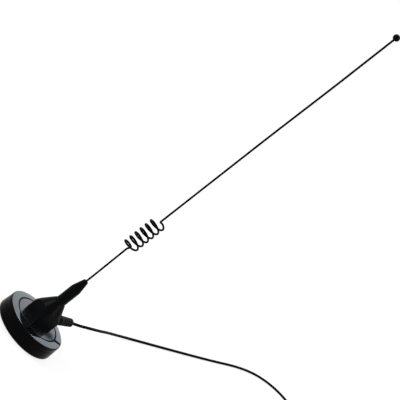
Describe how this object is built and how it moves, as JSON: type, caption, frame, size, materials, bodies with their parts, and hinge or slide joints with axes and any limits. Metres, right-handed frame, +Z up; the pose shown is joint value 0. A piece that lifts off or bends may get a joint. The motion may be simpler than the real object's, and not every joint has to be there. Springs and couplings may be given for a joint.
{
  "type": "magnetic mount antenna",
  "caption": "Vehicle antenna on a round magnetic base: a black wire whip with an open loading coil and ball tip, with a thin coaxial cable and a threaded plug.",
  "frame": {"origin": "centre of the magnetic base's underside, where it rests on the table", "axes": "+Z up along the whip; +Y the way the cable leaves the housing; +X to the right of that"},
  "size_m": [0.1301, 0.518, 0.3751],
  "materials": {
    "dark_plating": "dark gloss plating",
    "wall_plastic": "gloss moulded",
    "black_plastic": "satin moulded",
    "black_rubber": "matt",
    "cable_jacket": "smooth satin",
    "black_wire": "satin black finish on steel",
    "steel": "zinc plated",
    "ferrite": "matt sintered",
    "brass": "turned",
    "nickel": "bright nickel",
    "copper": "bare copper",
    "white_plastic": "smooth",
    "nylon": "satin"
  },
  "bodies": {
    "base": {"base_cover": "dark_plating", "base_ring": "wall_plastic", "steel_cup": "steel", "ring_magnet": "ferrite", "pole_piece": "steel", "bottom_pad": "black_rubber", "housing_screws": "steel", "housing": "black_plastic", "housing_gasket": "black_rubber", "insulator_bush": "white_plastic", "contact_stud": "brass", "solder_lug": "brass", "lug_washer": "steel", "stud_nut": "brass", "strain_relief": "black_rubber", "coax_entry": "cable_jacket", "braid_ferrule": "nickel", "ground_strap": "brass", "coax_dielectric": "white_plastic", "centre_conductor": "copper", "coax_cable": "cable_jacket", "coax_coil": "cable_jacket", "coax_lead": "cable_jacket", "cable_ties": "nylon", "plug_boot": "black_rubber", "crimp_sleeve": "nickel", "plug_body": "nickel", "nut_ring": "steel", "plug_gasket": "black_rubber", "plug_insulator": "white_plastic", "plug_pin": "brass"},
    "seal": {"foot_seal": "black_rubber"},
    "whip_body": {"ferrule_sleeve": "black_plastic", "ferrule_insert": "brass", "whip": "black_wire", "ball_tip": "black_plastic"},
    "plug_nut": {"coupling_nut": "nickel"}
  },
  "joints": [
    {"name": "foot_rise", "type": "slide", "parent": "base", "child": "seal", "axis": [0, 0, 1], "range_m": [0, 0.0021]},
    {"name": "foot_turn", "type": "hinge", "parent": "seal", "child": "whip_body", "pos_m": [0, 0, 0.0465], "axis": [0, 0, 1], "range_deg": [0, 1080]},
    {"name": "nut_turn", "type": "hinge", "parent": "base", "child": "plug_nut", "pos_m": [0.00909, 0.46015, 0.0074], "axis": [0.9845, 0.1754, 0], "continuous": true}
  ],
  "couplings": [
    {"joint": "foot_rise", "follows": "foot_turn", "m_per_rad": 0.0001114}
  ]
}
